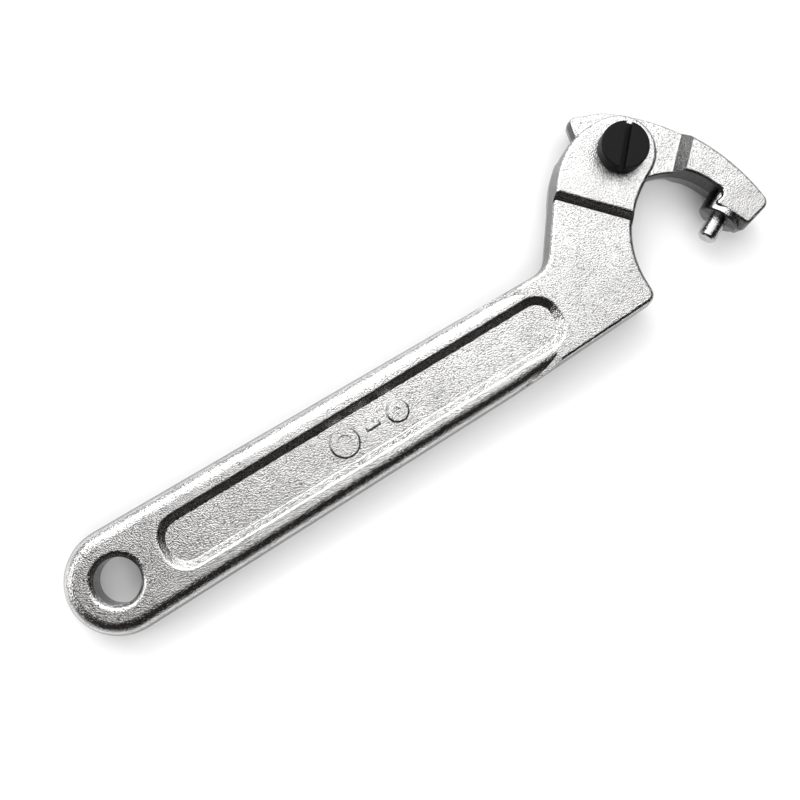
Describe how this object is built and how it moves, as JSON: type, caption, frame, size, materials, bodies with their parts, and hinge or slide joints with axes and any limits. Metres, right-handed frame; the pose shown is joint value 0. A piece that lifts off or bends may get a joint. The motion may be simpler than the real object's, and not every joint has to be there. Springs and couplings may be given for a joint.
{
  "type": "adjustable pin spanner",
  "caption": "Forged hand spanner with a hinged hook jaw that carries a round drive pin, on a slotted shoulder screw, with a hanging hole at the handle's end.",
  "frame": {"origin": "centre of the hanging hole, at mid thickness of the handle", "axes": "+X along the handle from the hanging hole to the head; +Z along the hanging hole's and the pivot's axis, to the side of the screw head; +Y to the side on which the neck and the pivot stand off the handle's centre line"},
  "size_m": [0.1672, 0.0452, 0.0149],
  "materials": {
    "plated_forging": "satin plating over a shot-blasted drop forging",
    "plated_pin": "satin plating over a turned pin",
    "black_oxide_steel": "matte black oxide"
  },
  "bodies": {
    "handle": {"handle": "plated_forging", "pivot_screw": "black_oxide_steel"},
    "hook": {"hook_jaw": "plated_forging", "drive_pin": "plated_pin"}
  },
  "joints": [
    {"name": "hook_swing", "type": "hinge", "parent": "handle", "child": "hook", "pos_m": [0.1338, 0.02225, 0], "axis": [0, 0, 1], "range_deg": [-35, 42]}
  ]
}
